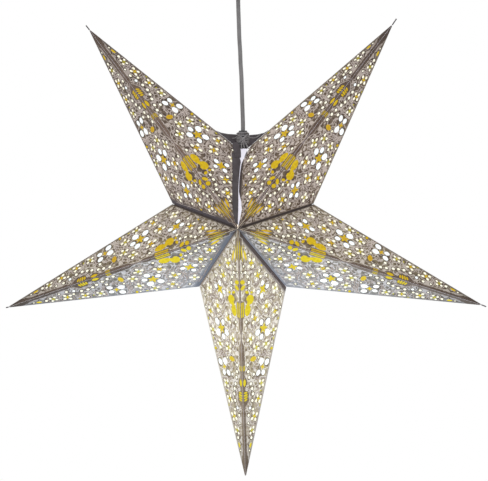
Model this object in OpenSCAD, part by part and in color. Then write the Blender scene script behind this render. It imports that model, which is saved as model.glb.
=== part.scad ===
// Hanging paper star lantern. Five hollow arms of folded, punched card meet round a small pendant
// lampholder. Each arm is four triangular panels, creased along its ridges and outer edges.
// The top seam is open and tied round the lampholder's neck, and the flex rises to a ceiling canopy.
// Millimetres, +Z up, the lantern's front faces -Y, origin in the middle of the canopy's ceiling face.

/* [Star] */
// Centre of the star to the tip of an arm
tip_r = 315; // [300:5:325]
// Centre of the star to the notch between two arms
notch_r = 93; // [90:1:96]
// Half of the star's depth at its middle
half_depth = 95; // [92:1:98]
// Ceiling face down to the star's centre
drop = 320; // [318:1:325]
// Sideways offset of the star's centre from the canopy's centre
lean = 6; // [4:0.5:8]

/* [Paper] */
// Thickness of the printed card
card_t = 0.4; // [0.3:0.05:0.5]
// Thickness of the translucent lining paper
lining_t = 0.1; // [0.08:0.01:0.15]
// Card held back from a ridge crease
ridge_inset = 1; // [0.8:0.1:1.5]
// Card held back from a back ridge, where the two panels only meet
back_ridge_inset = 1.8; // [1.6:0.1:2.5]
// Card held back from an outer edge crease
edge_inset = 0.6; // [0.5:0.1:1]
// Card held back from a glued seam between two arms
seam_inset = 2.4; // [2.2:0.1:3]
// Corner cut off where the panels run together in the middle
centre_cut = 8; // [7:0.5:10]
// Corner cut off beside the lampholder's neck, along the outer edge
neck_cut = 14; // [13:0.5:16]
// Width of the strip folded over the left free edge
strip_w = 11; // [9:0.5:12]

/* [Ties] */
// Diameter of the tie string
string_d = 1.2; // [1:0.1:1.5]
// Thickness of the tie tabs
tab_t = 0.5; // [0.4:0.1:0.6]
// Turns of string round the neck
coils = 9; // [7:1:9]

/* [Lampholder] */
// Outer radius of the lampholder's shell
holder_r = 14; // [13.5:0.1:14.5]
// Radius of the lampholder's neck
neck_r = 5.5; // [5:0.1:6]
// Outer radius of the shade ring
ring_r = 18; // [17:0.5:19]
// Wall of the moulded parts
wall = 1.5; // [1.2:0.1:1.8]
// Outside radius of the small Edison screw cap
cap_r = 6.95; // [6.9:0.05:7]
// Radius of the bulb's globe
bulb_r = 22.5; // [20:0.5:23]

/* [Flex and canopy] */
// Diameter of the flex
flex_d = 5.4; // [5:0.1:5.6]
// Radius of the canopy cup
canopy_r = 40; // [36:1:45]
// Height of the canopy cup
canopy_h = 28; // [28:1:28]
// Spacing of the two ceiling screws
screw_gap = 50; // [44:1:54]
// Radius of the ceiling screw holes
screw_r = 2.25; // [2:0.25:2.5]

/* [Hidden] */
$fn = 64;
arm_turn = 72;
// The triangle of one panel: its centre corner, tip corner and notch corner.
ridge_l = sqrt(tip_r * tip_r + half_depth * half_depth);
seam_l = sqrt(notch_r * notch_r + half_depth * half_depth);
edge_l = sqrt(tip_r * tip_r + notch_r * notch_r - 2 * tip_r * notch_r * cos(arm_turn / 2));
centre_a = acos((ridge_l * ridge_l + seam_l * seam_l - edge_l * edge_l) / (2 * ridge_l * seam_l));
tip_a = acos((ridge_l * ridge_l + edge_l * edge_l - seam_l * seam_l) / (2 * ridge_l * edge_l));
notch_a = 180 - centre_a - tip_a;
// Slope of the ridge, and of a panel across its ridge.
ridge_slope = atan(half_depth / tip_r);
panel_slope = atan2(half_depth * (tip_r - notch_r * cos(arm_turn / 2)) / ridge_l,
                    notch_r * sin(arm_turn / 2));
notch_pt = seam_l * [cos(centre_a), sin(centre_a)];
tip_pt = [ridge_l, 0];
to_notch = [cos(centre_a), sin(centre_a)];
to_tip = (tip_pt - notch_pt) / edge_l;
holder_top = 121;
coil_foot = 102.2;
coil_h = 1.7;
shell_top = 66;
shell_foot = 24;
grip_z = -canopy_h;
flex_top = -27;
flex_route = [
  [0, 0, flex_top], [0, 0, -40], [0.5, 0, -55], [1, 0, -70], [1.5, 0, -85], [2.5, 0, -100],
  [3, 0, -115], [4, 0, -130], [4.5, 0, -145], [5, 0, -160], [5.5, 0, -175],
  [lean, 0, -190], [lean, 0, -200], [lean, 0, holder_top - drop - 10]
];
left_string_route = [[-7, -5, 112], [-9, -4, 112], [-11, -2, 111], [-13, -1, 111]];
right_string_route = [[7, -6, 114], [10, -6, 112], [14, -4, 112], [18, -2, 113], [22, -1, 116]];

card_ink = [0.47, 0.42, 0.38];
lining_ink = [0.96, 0.93, 0.84];
string_ink = [0.62, 0.61, 0.6];
black = [0.13, 0.13, 0.14];
brass = [0.78, 0.64, 0.34];

// Points of a panel's outline, in the panel's own plane.
function on_ridge(s, inset) = [s, inset];
function on_seam(s, inset) = s * to_notch + inset * [to_notch[1], -to_notch[0]];
function on_edge(s, inset) = notch_pt + s * to_tip + inset * [to_tip[1], -to_tip[0]];
function tip_corner(ridge, edge) = [ridge_l - ridge / tan(tip_a) - edge / sin(tip_a), ridge];
function notch_corner(edge, seam) = notch_pt + (seam * to_tip - edge * to_notch) / sin(notch_a);
function unit(v) = v / norm(v);
function heading(p, i) = unit(p[min(i + 1, len(p) - 1)] - p[max(i - 1, 0)]);

module at_star() translate([lean, 0, -drop]) children();

// Puts a panel drawn flat into its place. The base arm points up and its panel is the front one on
// the +X side; hand -1 mirrors it across the ridge, face -1 sends it to the back.
module in_arm(turn, hand, face)
  at_star()
  rotate([0, turn, 0])
  mirror([hand < 0 ? 1 : 0, 0, 0])
  mirror([0, face < 0 ? 1 : 0, 0])
  translate([0, -half_depth, 0])
  rotate([-ridge_slope, 0, 0])
  rotate([-90, -90, 0])
  rotate([panel_slope, 0, 0])
  children();

// Sheet lying on the panel's plane, from depth out to depth + thickness on the outer side.
module sheet(outline, depth, thickness)
  translate([0, 0, -depth - thickness]) linear_extrude(thickness) polygon(outline);

function plain_outline(ridge) = [
  on_ridge(centre_cut, ridge),
  tip_corner(ridge, edge_inset),
  notch_corner(edge_inset, seam_inset),
  on_seam(centre_cut, seam_inset)
];

// The outlines beside the open top seam. Their notch corner is cut away round the neck.
function free_outline(ridge, middle, top) = [
  on_ridge(centre_cut, ridge),
  tip_corner(ridge, edge_inset),
  on_edge(neck_cut, edge_inset),
  on_seam(seam_l - 10, top),
  on_seam(0.8 * seam_l, middle[1]),
  on_seam(0.31 * seam_l, middle[0]),
  on_seam(centre_cut, seam_inset)
];

module card(outline) sheet(outline, lining_t, card_t);
module lining(outline) sheet(outline, 0, lining_t);

front_panel = plain_outline(ridge_inset);
back_panel = plain_outline(back_ridge_inset);
front_free_left = free_outline(ridge_inset, [seam_inset, 3.5], 6);
front_free_right = free_outline(ridge_inset, [6.5, 2], 7);
back_free = free_outline(back_ridge_inset, [seam_inset, 3], 6);

// Round tube along a route, closed at both ends.
module tube(route, diameter, sides) {
  n = len(route);
  points = [for (i = [0:n - 1]) let (d = heading(route, i), a = unit(cross([0, 1, 0], d)), b = cross(d, a))
    for (k = [0:sides - 1])
      route[i] + diameter / 2 * (cos(360 * k / sides) * a + sin(360 * k / sides) * b)];
  walls = [for (i = [0:n - 2]) for (k = [0:sides - 1]) for (half = [0, 1])
    let (m = (k + 1) % sides, a = i * sides, b = (i + 1) * sides)
    half == 0 ? [a + m, a + k, b + k] : [a + m, b + k, b + m]];
  foot = [for (k = [0:sides - 1]) k];
  head = [for (k = [0:sides - 1]) n * sides - 1 - k];
  polyhedron(points = points, faces = concat([foot, head], walls), convexity = 4);
}

module turned(profile) rotate_extrude() polygon(profile);

// Bottom arm
module bottom_arm_front_right_card() color(card_ink) in_arm(180, -1, 1) card(front_panel);
module bottom_arm_front_left_card() color(card_ink) in_arm(180, 1, 1) card(front_panel);
module bottom_arm_back_right_card() color(card_ink) in_arm(180, -1, -1) card(back_panel);
module bottom_arm_back_left_card() color(card_ink) in_arm(180, 1, -1) card(back_panel);
module bottom_arm_front_right_lining() color(lining_ink) in_arm(180, -1, 1) lining(front_panel);
module bottom_arm_front_left_lining() color(lining_ink) in_arm(180, 1, 1) lining(front_panel);
module bottom_arm_back_right_lining() color(lining_ink) in_arm(180, -1, -1) lining(back_panel);
module bottom_arm_back_left_lining() color(lining_ink) in_arm(180, 1, -1) lining(back_panel);

// Right arm
module right_arm_front_lower_card() color(card_ink) in_arm(108, 1, 1) card(front_panel);
module right_arm_front_upper_card() color(card_ink) in_arm(108, -1, 1) card(front_panel);
module right_arm_back_lower_card() color(card_ink) in_arm(108, 1, -1) card(back_panel);
module right_arm_back_upper_card() color(card_ink) in_arm(108, -1, -1) card(back_panel);
module right_arm_front_lower_lining() color(lining_ink) in_arm(108, 1, 1) lining(front_panel);
module right_arm_front_upper_lining() color(lining_ink) in_arm(108, -1, 1) lining(front_panel);
module right_arm_back_lower_lining() color(lining_ink) in_arm(108, 1, -1) lining(back_panel);
module right_arm_back_upper_lining() color(lining_ink) in_arm(108, -1, -1) lining(back_panel);

// Left arm
module left_arm_front_lower_card() color(card_ink) in_arm(-108, -1, 1) card(front_panel);
module left_arm_front_upper_card() color(card_ink) in_arm(-108, 1, 1) card(front_panel);
module left_arm_back_lower_card() color(card_ink) in_arm(-108, -1, -1) card(back_panel);
module left_arm_back_upper_card() color(card_ink) in_arm(-108, 1, -1) card(back_panel);
module left_arm_front_lower_lining() color(lining_ink) in_arm(-108, -1, 1) lining(front_panel);
module left_arm_front_upper_lining() color(lining_ink) in_arm(-108, 1, 1) lining(front_panel);
module left_arm_back_lower_lining() color(lining_ink) in_arm(-108, -1, -1) lining(back_panel);
module left_arm_back_upper_lining() color(lining_ink) in_arm(-108, 1, -1) lining(back_panel);

// Upper right arm
module upper_right_arm_front_outer_card() color(card_ink) in_arm(36, 1, 1) card(front_panel);
module upper_right_arm_front_inner_card() color(card_ink) in_arm(36, -1, 1) card(front_free_right);
module upper_right_arm_back_outer_card() color(card_ink) in_arm(36, 1, -1) card(back_panel);
module upper_right_arm_back_inner_card() color(card_ink) in_arm(36, -1, -1) card(back_free);
module upper_right_arm_front_outer_lining() color(lining_ink) in_arm(36, 1, 1) lining(front_panel);
module upper_right_arm_front_inner_lining()
  color(lining_ink) in_arm(36, -1, 1) lining(front_free_right);
module upper_right_arm_back_outer_lining() color(lining_ink) in_arm(36, 1, -1) lining(back_panel);
module upper_right_arm_back_inner_lining() color(lining_ink) in_arm(36, -1, -1) lining(back_free);

// Upper left arm
module upper_left_arm_front_outer_card() color(card_ink) in_arm(-36, -1, 1) card(front_panel);
module upper_left_arm_front_inner_card() color(card_ink) in_arm(-36, 1, 1) card(front_free_left);
module upper_left_arm_back_outer_card() color(card_ink) in_arm(-36, -1, -1) card(back_panel);
module upper_left_arm_back_inner_card() color(card_ink) in_arm(-36, 1, -1) card(back_free);
module upper_left_arm_front_outer_lining() color(lining_ink) in_arm(-36, -1, 1) lining(front_panel);
module upper_left_arm_front_inner_lining()
  color(lining_ink) in_arm(-36, 1, 1) lining(front_free_left);
module upper_left_arm_back_outer_lining() color(lining_ink) in_arm(-36, -1, -1) lining(back_panel);
module upper_left_arm_back_inner_lining() color(lining_ink) in_arm(-36, 1, -1) lining(back_free);

// Strip of card folded over the left arm's free edge, and glued on its outer face
module left_seam_strip()
  color(card_ink * 0.8) in_arm(-36, 1, 1)
  sheet([
    on_seam(centre_cut + 6, seam_inset + 0.5),
    on_seam(centre_cut + 6, seam_inset + strip_w - 3),
    on_seam(seam_l - 14, strip_w + 5),
    on_seam(seam_l - 12, 6.5),
    on_seam(0.8 * seam_l, 4),
    on_seam(0.31 * seam_l, seam_inset + 0.5)
  ], lining_t + card_t, 0.4);

// Tabs of card that close the notch on either side of the neck
module tie_tab()
  at_star() rotate([90, 0, 0]) translate([0, 0, -tab_t / 2])
  linear_extrude(tab_t) difference() {
    polygon([[9, notch_r + 9.2], [31, notch_r + 28.4], [9, notch_r + 25]]);
    translate([13, notch_r + 18.5]) circle(r = 1.5, $fn = 24);
  }
module left_tie_tab() color(card_ink * 0.6) translate([2 * lean, 0, 0]) mirror([1, 0, 0]) tie_tab();
module right_tie_tab() color(card_ink * 0.6) tie_tab();

// String from each tab to the knot, and the knot wound round the neck
module left_tie_string() color(string_ink) at_star() tube(left_string_route, string_d, 8);
module right_tie_string() color(string_ink) at_star() tube(right_string_route, string_d, 8);
module tie_knot() color(string_ink) at_star() {
  turned([[neck_r + 0.1, coil_foot],
          for (i = [0:coils - 1])
            each [[neck_r + 1.3, coil_foot + coil_h * i], [neck_r + 1.9, coil_foot + coil_h * (i + 0.3)],
                  [neck_r + 1.9, coil_foot + coil_h * (i + 0.7)]],
          [neck_r + 1.3, coil_foot + coil_h * coils], [neck_r + 0.1, coil_foot + coil_h * coils]]);
  translate([0.5, -8.3, 110]) sphere(r = 2.6);
  translate([0.5, -8.3, 111]) rotate([165, 10, 0]) cylinder(h = 13, r1 = 1, r2 = 0.7);
  translate([1, -8.3, 111]) rotate([165, -28, 0]) cylinder(h = 15, r1 = 1, r2 = 0.7);
}

// Flex from the canopy down into the lampholder's neck
module flex() color([0.2, 0.2, 0.21]) tube(flex_route, flex_d, 12);

// Pendant lampholder
module holder_neck() color(black) at_star() difference() {
  turned([[0, 79], [6.5, 79], [6.5, 81.5], [neck_r, 81.5], [neck_r, holder_top - 1],
          [neck_r - 1, holder_top], [0, holder_top]]);
  translate([0, 0, holder_top - 12]) cylinder(h = 13, r = flex_d / 2 + 0.3);
}
module holder_cap() color(black) at_star()
  turned([[neck_r + 0.2, 84], [neck_r + 0.2, 87], [7.2, 87], [holder_r, 74], [holder_r, shell_top],
          [holder_r - wall, shell_top], [holder_r - wall, 73]]);
module holder_shell() color(black) at_star()
  turned([[holder_r - 2 * wall - 0.1, shell_top + 4], [holder_r - wall - 0.1, shell_top + 4],
          [holder_r - wall - 0.1, shell_top], [holder_r, shell_top], [holder_r, shell_foot],
          [holder_r - wall, shell_foot], [holder_r - wall, shell_top - 2],
          [holder_r - 2 * wall - 0.1, shell_top]]);
module shade_ring() color(black) at_star() difference() {
  translate([0, 0, 36]) cylinder(h = 6, r = ring_r);
  translate([0, 0, 35]) cylinder(h = 8, r = holder_r + 0.1);
  for (a = [0:30:330]) rotate([0, 0, a]) translate([ring_r + 0.6, 0, 35]) cylinder(h = 8, r = 1.4);
}
module socket_insert() color([0.9, 0.89, 0.85]) at_star() difference() {
  translate([0, 0, shell_foot + 2]) cylinder(h = 36, r = holder_r - wall - 0.1);
  translate([0, 0, shell_foot + 1]) cylinder(h = 31, r = cap_r + 0.75);
}
module thread_shell() color(brass) at_star() difference() {
  translate([0, 0, shell_foot + 3]) cylinder(h = 28, r = cap_r + 0.7);
  translate([0, 0, shell_foot + 2]) cylinder(h = 30, r = cap_r + 0.3);
}

// Frosted bulb with a small Edison screw cap
module bulb_cap() color([0.8, 0.8, 0.8]) at_star()
  turned([[0, 25.7], [cap_r, 25.7], [cap_r, 47], [5, 50], [2.4, 50.5], [2.4, 52.5], [0, 52.5]]);
module bulb_globe() color([1, 0.97, 0.9, 0.6]) at_star() {
  difference() {
    union() {
      translate([0, 0, -8]) sphere(r = bulb_r);
      turned([[0, 0], [18, 0], [16, 8], [10.5, 17], [8, 24], [8, 25.6], [0, 25.6]]);
    }
    translate([0, 0, -8]) sphere(r = bulb_r - 1);
    turned([[0, -1], [17, -1], [15, 7.8], [9.5, 16.8], [7, 24], [7, 24.6], [0, 24.6]]);
  }
}

// Ceiling canopy
module canopy_cup() color([0.93, 0.93, 0.92])
  turned([[5.3, grip_z], [canopy_r - 8, grip_z], [canopy_r - 3, grip_z + 3], [canopy_r, grip_z + 9],
          [canopy_r, 0], [canopy_r - wall, 0], [canopy_r - wall, grip_z + 9],
          [canopy_r - 4, grip_z + 4.2], [canopy_r - 8.4, grip_z + wall], [5.3, grip_z + wall]]);
module mounting_strap() color([0.75, 0.76, 0.78]) difference() {
  translate([-canopy_r + wall + 1.3, -9, -2]) cube([2 * (canopy_r - wall - 1.3), 18, 2]);
  for (s = [-1, 1]) translate([s * screw_gap / 2, 0, -3]) cylinder(h = 4, r = screw_r);
  translate([0, 0, -3]) cylinder(h = 4, r = 6);
}
module flex_grip() color(black)
  turned([[3.3, grip_z + 8], [5, grip_z + 8], [5, grip_z - 0.1], [9, grip_z - 0.1], [9, grip_z - 2],
          [7.6, grip_z - 6], [6.1, grip_z - 6], [3.3, grip_z + 0.5]]);
module grip_nut() color(black) difference() {
  translate([0, 0, grip_z + wall + 0.1]) cylinder(h = 4, r = 8, $fn = 6);
  translate([0, 0, grip_z + wall - 1]) cylinder(h = 7, r = 5.1);
}

bottom_arm_front_right_card();
bottom_arm_front_left_card();
bottom_arm_back_right_card();
bottom_arm_back_left_card();
bottom_arm_front_right_lining();
bottom_arm_front_left_lining();
bottom_arm_back_right_lining();
bottom_arm_back_left_lining();
right_arm_front_lower_card();
right_arm_front_upper_card();
right_arm_back_lower_card();
right_arm_back_upper_card();
right_arm_front_lower_lining();
right_arm_front_upper_lining();
right_arm_back_lower_lining();
right_arm_back_upper_lining();
left_arm_front_lower_card();
left_arm_front_upper_card();
left_arm_back_lower_card();
left_arm_back_upper_card();
left_arm_front_lower_lining();
left_arm_front_upper_lining();
left_arm_back_lower_lining();
left_arm_back_upper_lining();
upper_right_arm_front_outer_card();
upper_right_arm_front_inner_card();
upper_right_arm_back_outer_card();
upper_right_arm_back_inner_card();
upper_right_arm_front_outer_lining();
upper_right_arm_front_inner_lining();
upper_right_arm_back_outer_lining();
upper_right_arm_back_inner_lining();
upper_left_arm_front_outer_card();
upper_left_arm_front_inner_card();
upper_left_arm_back_outer_card();
upper_left_arm_back_inner_card();
upper_left_arm_front_outer_lining();
upper_left_arm_front_inner_lining();
upper_left_arm_back_outer_lining();
upper_left_arm_back_inner_lining();
left_seam_strip();
left_tie_tab();
right_tie_tab();
left_tie_string();
right_tie_string();
tie_knot();
flex();
holder_neck();
holder_cap();
holder_shell();
shade_ring();
socket_insert();
thread_shell();
bulb_cap();
bulb_globe();
canopy_cup();
mounting_strap();
flex_grip();
grip_nut();
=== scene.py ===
# Looks for the hanging paper star lantern: punched, printed card panels over a glowing lining,
# the tied top seam, the flex, the pendant lampholder with its bulb, and the ceiling canopy.
import math
import bpy
from mathutils import Matrix, Vector


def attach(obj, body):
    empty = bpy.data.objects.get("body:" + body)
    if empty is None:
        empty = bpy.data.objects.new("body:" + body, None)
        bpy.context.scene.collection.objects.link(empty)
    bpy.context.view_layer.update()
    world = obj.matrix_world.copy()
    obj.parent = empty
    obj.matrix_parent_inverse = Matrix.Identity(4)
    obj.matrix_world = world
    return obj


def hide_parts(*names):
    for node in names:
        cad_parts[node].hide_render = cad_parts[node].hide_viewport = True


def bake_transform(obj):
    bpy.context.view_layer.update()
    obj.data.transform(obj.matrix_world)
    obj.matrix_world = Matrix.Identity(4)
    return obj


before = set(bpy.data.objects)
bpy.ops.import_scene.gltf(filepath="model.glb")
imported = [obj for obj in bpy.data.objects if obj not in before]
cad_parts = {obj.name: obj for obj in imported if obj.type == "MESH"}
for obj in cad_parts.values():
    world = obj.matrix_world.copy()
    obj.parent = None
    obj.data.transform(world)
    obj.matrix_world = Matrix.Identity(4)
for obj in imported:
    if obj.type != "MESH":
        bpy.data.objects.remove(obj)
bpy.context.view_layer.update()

MM = 0.001
STAR = Vector((0.006, 0.0, -0.320))     # middle of the star
TIP_R, NOTCH_R, DEPTH = 315.0, 93.0, 95.0
SPIN = math.radians(36)

# One panel is a triangle from the star's front or back point to an arm's tip and a notch.
RIDGE = math.hypot(TIP_R, DEPTH)
SEAM = math.hypot(NOTCH_R, DEPTH)
EDGE = math.sqrt(TIP_R ** 2 + NOTCH_R ** 2 - 2 * TIP_R * NOTCH_R * math.cos(SPIN))
CENTRE_A = math.acos((RIDGE ** 2 + SEAM ** 2 - EDGE ** 2) / (2 * RIDGE * SEAM))
TIP_A = math.acos((RIDGE ** 2 + EDGE ** 2 - SEAM ** 2) / (2 * RIDGE * EDGE))
NOTCH_U, NOTCH_V = SEAM * math.cos(CENTRE_A), SEAM * math.sin(CENTRE_A)
PANEL_SLOPE = math.atan2(DEPTH * (TIP_R - NOTCH_R * math.cos(SPIN)) / RIDGE, NOTCH_R * math.sin(SPIN))


def clear_selection():
    if bpy.context.mode != "OBJECT":
        bpy.ops.object.mode_set(mode="OBJECT")
    bpy.ops.object.select_all(action="DESELECT")


def pick(*objs):
    clear_selection()
    for o in objs:
        o.select_set(True)
    bpy.context.view_layer.objects.active = objs[-1]


def add_object(name, data):
    o = bpy.data.objects.new(name, data)
    bpy.context.collection.objects.link(o)
    pick(o)
    return o


def join(keep, *others):
    """Makes one piece of several, and keeps the first one's name."""
    pick(*others, keep)
    bpy.ops.object.join()
    return keep


def edit_all():
    """Edit mode, with all of the picked piece selected."""
    bpy.ops.object.mode_set(mode="EDIT")
    bpy.ops.mesh.select_all(action="SELECT")


def srgb(r, g, b):
    def one(c):
        c /= 255
        return c / 12.92 if c <= 0.04045 else ((c + 0.055) / 1.055) ** 2.4
    return (one(r), one(g), one(b), 1.0)


# ---------------------------------------------------------------- camera
def make_camera():
    clear_selection()
    target = STAR + Vector((0.0013, 0.0, -0.0172))
    turn, lift, away = math.radians(3.8), math.radians(1.5), 3.41
    back = Vector((math.sin(turn) * math.cos(lift), -math.cos(turn) * math.cos(lift), math.sin(lift)))
    bpy.ops.object.camera_add(location=target + back * away)
    cam = bpy.context.active_object
    cam.name = "camera"
    cam.rotation_euler = (-back).to_track_quat("-Z", "Y").to_euler()
    cam.data.lens = 200
    cam.data.sensor_width = 36
    bpy.context.scene.camera = cam


make_camera()


# ---------------------------------------------------------------- tubes and flex
def tube(name, points, diameter, sides):
    """Round tube along points given in metres in the row frame, turned into a mesh."""
    curve = bpy.data.curves.new(name, "CURVE")
    curve.dimensions = "3D"
    curve.bevel_depth = diameter / 2
    curve.bevel_resolution = max(0, sides // 4 - 1)
    curve.use_fill_caps = True
    line = curve.splines.new("POLY")
    line.points.add(len(points) - 1)
    for p, q in zip(line.points, points):
        p.co = (*q, 1)
    add_object(name, curve)
    bpy.ops.object.convert(target="MESH")
    bpy.ops.object.shade_smooth()
    return bpy.context.active_object


def smooth_route(knots, per=6):
    """Points along a smooth line through the knots."""
    out = []
    n = len(knots)
    for i in range(n - 1):
        p0 = Vector(knots[max(i - 1, 0)])
        p1 = Vector(knots[i])
        p2 = Vector(knots[i + 1])
        p3 = Vector(knots[min(i + 2, n - 1)])
        for k in range(per):
            t = k / per
            out.append(0.5 * ((2 * p1) + (p2 - p0) * t + (2 * p0 - 5 * p1 + 4 * p2 - p3) * t * t
                              + (3 * p1 - p0 - 3 * p2 + p3) * t ** 3))
    out.append(Vector(knots[-1]))
    return out


def make_flex():
    knots = [(0, 0, -27), (0, 0, -40), (0.5, 0, -55), (1, 0, -70), (1.5, 0, -85), (2.5, 0, -100),
             (3, 0, -115), (4, 0, -130), (4.5, 0, -145), (5, 0, -160), (5.5, 0, -175), (6, 0, -190),
             (6, 0, -200), (6, 0, -209)]
    route = smooth_route([(x * MM, y * MM, z * MM) for x, y, z in knots], per=3)
    flex = tube("flex_sheath", route, 0.0054, sides=16)
    return flex


flex = make_flex()


# ---------------------------------------------------------------- materials
def new_material(name):
    m = bpy.data.materials.new(name)
    m.use_nodes = True
    nodes, links = m.node_tree.nodes, m.node_tree.links
    shader = nodes["Principled BSDF"]
    return m, nodes, links, shader


def ramp(nodes, stops):
    """Colour ramp; a plain number in place of a colour is a grey."""
    r = nodes.new("ShaderNodeValToRGB")
    e = r.color_ramp.elements
    while len(e) > 1:
        e.remove(e[-1])
    tones = [(at, t if isinstance(t, tuple) else (t, t, t, 1.0)) for at, t in stops]
    e[0].position, e[0].color = tones[0]
    for at, tone in tones[1:]:
        e.new(at).color = tone
    return r


def set_inputs(node, **values):
    """Sets a node's inputs by name, with underscores for the spaces."""
    for name, v in values.items():
        node.inputs[name.replace("_", " ")].default_value = v


def noise_of(nodes, links, place, scale, detail, distortion=0.0):
    noise = nodes.new("ShaderNodeTexNoise")
    set_inputs(noise, Scale=scale, Detail=detail, Distortion=distortion)
    links.new(place, noise.inputs["Vector"])
    return noise.outputs[0]


def roughen(nodes, links, shader, height, strength, distance):
    bump = nodes.new("ShaderNodeBump")
    set_inputs(bump, Strength=strength, Distance=distance)
    links.new(height, bump.inputs["Height"])
    links.new(bump.outputs[0], shader.inputs["Normal"])


def mix_colour(nodes, links, factor, a, b):
    n = nodes.new("ShaderNodeMix")
    n.data_type = "RGBA"
    for socket, v in ((n.inputs[0], factor), (n.inputs[6], a), (n.inputs[7], b)):
        if isinstance(v, (int, float, tuple)):
            socket.default_value = v
        else:
            links.new(v, socket)
    return n.outputs[2]


def card_material(name, dark, mid, line, rim, seam, ribbon_tone, border, far=None):
    """Printed card. The panel's own map runs along the ridge in U and away from it in V, 100 mm to 1."""
    m, nodes, links, shader = new_material(name)
    tones = (dark, mid, line, rim, seam, ribbon_tone)
    dark, mid, line, rim, seam, ribbon_tone = (srgb(*tone) for tone in tones)
    uv = nodes.new("ShaderNodeUVMap")
    split = nodes.new("ShaderNodeSeparateXYZ")
    links.new(uv.outputs[0], split.inputs[0])
    u, v = split.outputs[0], split.outputs[1]

    def calc(op, a, b, clamp=False):
        n = nodes.new("ShaderNodeMath")
        n.operation = op
        n.use_clamp = clamp
        for socket, v in zip(n.inputs, (a, b)):
            if isinstance(v, (int, float)):
                socket.default_value = v
            else:
                links.new(v, socket)
        return n.outputs[0]

    def times(a, b):
        return calc("MULTIPLY", a, b)

    def minus(a, b, clamp=False):
        return calc("SUBTRACT", a, b, clamp)

    def step(value, low, high):
        n = nodes.new("ShaderNodeMapRange")
        n.interpolation_type = "SMOOTHSTEP"
        n.inputs[1].default_value = low
        n.inputs[2].default_value = high
        links.new(value, n.inputs[0])
        return n.outputs[0]

    def mix(factor, a, b):
        return mix_colour(nodes, links, factor, a, b)

    def cloud(scale, detail, seed=0.0, distortion=0.0):
        place = nodes.new("ShaderNodeMapping")
        place.inputs["Location"].default_value = (seed, seed * 0.7, 0)
        links.new(uv.outputs[0], place.inputs[0])
        return noise_of(nodes, links, place.outputs[0], scale, detail, distortion)

    def squiggle(scale, steps, width, seed):
        """Thin lines along the contours of a soft noise."""
        wave = calc("PINGPONG", times(cloud(scale, 0.6, seed, 0.5), steps), 0.5)
        return minus(1.0, step(wave, width * 0.55, width))

    off_seam = minus(times(u, math.sin(CENTRE_A)), times(v, math.cos(CENTRE_A)))
    off_edge = minus(times(minus(RIDGE / 100, u), math.sin(TIP_A)),
                    times(v, math.cos(TIP_A)))
    inside = times(step(off_seam, border, border + 0.02), step(off_edge, 0.015, 0.04))
    lines = calc("MAXIMUM", squiggle(7.0, 5.0, 0.16, 3.1), squiggle(15.0, 3.0, 0.15, 7.7))
    lines = times(lines, inside)
    # The brown ribbon along the ridge: its half width, in 10 mm, follows a ramp along U.
    along = calc("DIVIDE", u, RIDGE / 100)
    width = ramp(nodes, [(0.0, 0.10), (0.036, 0.12), (0.045, 0.6), (0.118, 0.6),
                         (0.128, 0.12), (0.205, 0.12), (0.215, 0.3), (0.245, 0.3),
                         (0.252, 0.12), (0.288, 0.14), (0.295, 0.72), (0.355, 0.72),
                         (0.362, 0.40), (0.40, 0.34), (0.422, 0.05),
                         (0.442, 0.05), (0.47, 0.36), (0.535, 0.5), (0.57, 0.5),
                         (0.585, 0.3), (0.62, 0.9), (0.648, 0.3), (0.66, 1.0),
                         (0.70, 1.0), (0.728, 0.2), (0.74, 0.36), (0.9, 0.34),
                         (1.0, 1.0)])
    links.new(along, width.inputs[0])
    beyond = minus(v, times(width.outputs[0], 0.1))
    ribbon = minus(1.0, step(beyond, -0.004, 0.006))
    hem = minus(step(beyond, 0.003, 0.009), step(beyond, 0.014, 0.02), clamp=True)
    body = mix(step(cloud(11.0, 2.0), 0.4, 0.6), mid, dark)
    body = mix(minus(1.0, inside), body, rim)
    if far:
        # Towards the notch the card catches cold light from outside.
        body = mix(times(step(v, 0.2, 0.85), 0.6), body, srgb(*far))
    # Along the glued seam the card is painted with the light and shade that falls there: dark where the glue
    # flange keeps the lamp's light off it, a cold bluish tone where outside light reaches the lower arms.
    body = mix(minus(1.0, step(off_seam, border * 0.6, border + 0.012)), body, seam)
    body = mix(times(lines, 0.85), body, line)
    # In the middle of the star the ink runs together.
    body = mix(times(minus(1.0, step(u, 0.04, 0.17)), 0.75), body, srgb(58, 47, 42))
    body = mix(times(hem, 0.5), body, line)
    body = mix(times(ribbon, 0.9), body, ribbon_tone)
    # The light behind the card is strongest a third of the way out and falls off towards the tip.
    light = ramp(nodes, [(0.0, 0.8), (0.2, 0.92), (0.4, 1.0), (0.6, 0.86), (0.8, 0.72),
                         (1.0, 0.45)])
    links.new(along, light.inputs[0])
    fibre = cloud(90.0, 3.0)
    body = mix(times(fibre, 0.16), body, dark)
    dim = nodes.new("ShaderNodeVectorMath")
    dim.operation = "SCALE"
    links.new(body, dim.inputs[0])
    links.new(light.outputs[0], dim.inputs["Scale"])
    links.new(dim.outputs[0], shader.inputs["Base Color"])
    links.new(dim.outputs[0], shader.inputs["Emission Color"])
    # The card's faint glow is painted light: the lamp's light through the card, put in as emission.
    set_inputs(shader, Emission_Strength=0.12, Roughness=0.62, Specular_IOR_Level=0.25)
    roughen(nodes, links, shader, calc("ADD", fibre, lines), 0.25, 0.0002)
    return m


def glow_material(name, colour, edge, strength, scale=30.0):
    """Thin paper lit from behind, a little uneven; the light behind it is painted in as a glow."""
    m, nodes, links, shader = new_material(name)
    noise = noise_of(nodes, links, nodes.new("ShaderNodeUVMap").outputs[0], scale, 2.0)
    c = ramp(nodes, [(0.35, srgb(*colour)), (0.65, srgb(*edge))])
    links.new(noise, c.inputs[0])
    body = mix_colour(nodes, links, 0.65, c.outputs[0], (0.0, 0.0, 0.0, 1.0))
    links.new(body, shader.inputs["Base Color"])
    links.new(c.outputs[0], shader.inputs["Emission Color"])
    set_inputs(shader, Emission_Strength=strength, Roughness=0.7, Specular_IOR_Level=0.1)
    return m


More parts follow.
